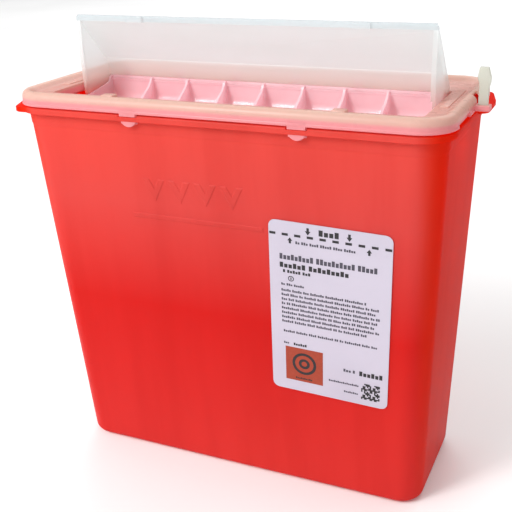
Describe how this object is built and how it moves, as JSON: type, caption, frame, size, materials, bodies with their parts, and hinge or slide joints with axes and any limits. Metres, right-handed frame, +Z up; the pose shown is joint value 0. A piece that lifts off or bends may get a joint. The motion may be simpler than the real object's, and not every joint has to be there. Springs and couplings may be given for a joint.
{
  "type": "sharps container",
  "caption": "Tapered translucent red disposal tub with a push-on lid, a tipping flap with a ribbed drop tray, a slide-down lock tab and a plain label.",
  "frame": {"origin": "the middle of the tub's flat base, on the surface that it stands on, midway between the tub's two ends and between the long walls at the rim", "axes": "+Z up; -Y is the front wall, which carries the label; +X is the end with the lock tab; the flap's pivot pins lie along X near the back edge of the mouth"},
  "size_m": [0.2724, 0.121, 0.2795],
  "materials": {
    "red_plastic": "translucent red polypropylene with a satin outside",
    "natural_plastic": "translucent natural polypropylene with a satin surface",
    "white_plastic": "milky white polypropylene",
    "label_film": null
  },
  "bodies": {
    "container": {"tub": "red_plastic", "lid": "natural_plastic", "label": "label_film"},
    "tipping_flap": {"flap": "natural_plastic", "tray": "natural_plastic"},
    "lock": {"lock_tab": "white_plastic"}
  },
  "joints": [
    {"name": "flap_pivot", "type": "hinge", "parent": "container", "child": "tipping_flap", "pos_m": [0, 0.0186, 0.2268], "axis": [1, 0, 0], "range_deg": [0, 46]},
    {"name": "lock_slide", "type": "slide", "parent": "container", "child": "lock", "axis": [0, 0, -1], "range_m": [0, 0.009]}
  ]
}
